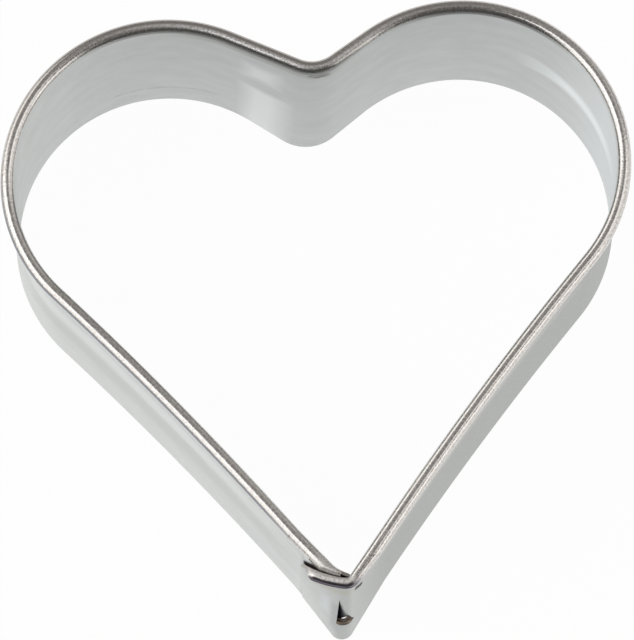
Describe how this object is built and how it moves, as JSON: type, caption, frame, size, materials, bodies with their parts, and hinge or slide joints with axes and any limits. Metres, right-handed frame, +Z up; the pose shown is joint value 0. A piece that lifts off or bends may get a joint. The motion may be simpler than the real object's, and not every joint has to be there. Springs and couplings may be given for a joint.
{
  "type": "cookie cutter",
  "caption": "Open heart-shaped cutter bent from a tinplate strip with an outward-curled rim, its ends lapped and clinched at the tip, for stamping shapes from rolled dough.",
  "frame": {"origin": "centre of the footprint's bounding box, on the plane of the cutting edge", "axes": "+Z up from the cutting edge to the curled rim, +Y from the tip to the notch, +X to the right seen from above with the tip nearest"},
  "size_m": [0.06, 0.0566, 0.024],
  "materials": {
    "tinplate": "bright tin coat with fine rolling lines"
  },
  "bodies": {
    "root": {"notch_bend": "tinplate", "left_lobe": "tinplate", "right_lobe": "tinplate", "left_flank": "tinplate", "right_flank": "tinplate", "tip_outer_layer": "tinplate", "tip_inner_layer": "tinplate", "clinch_outer_tongue": "tinplate", "clinch_inner_tongue": "tinplate"}
  },
  "joints": []
}
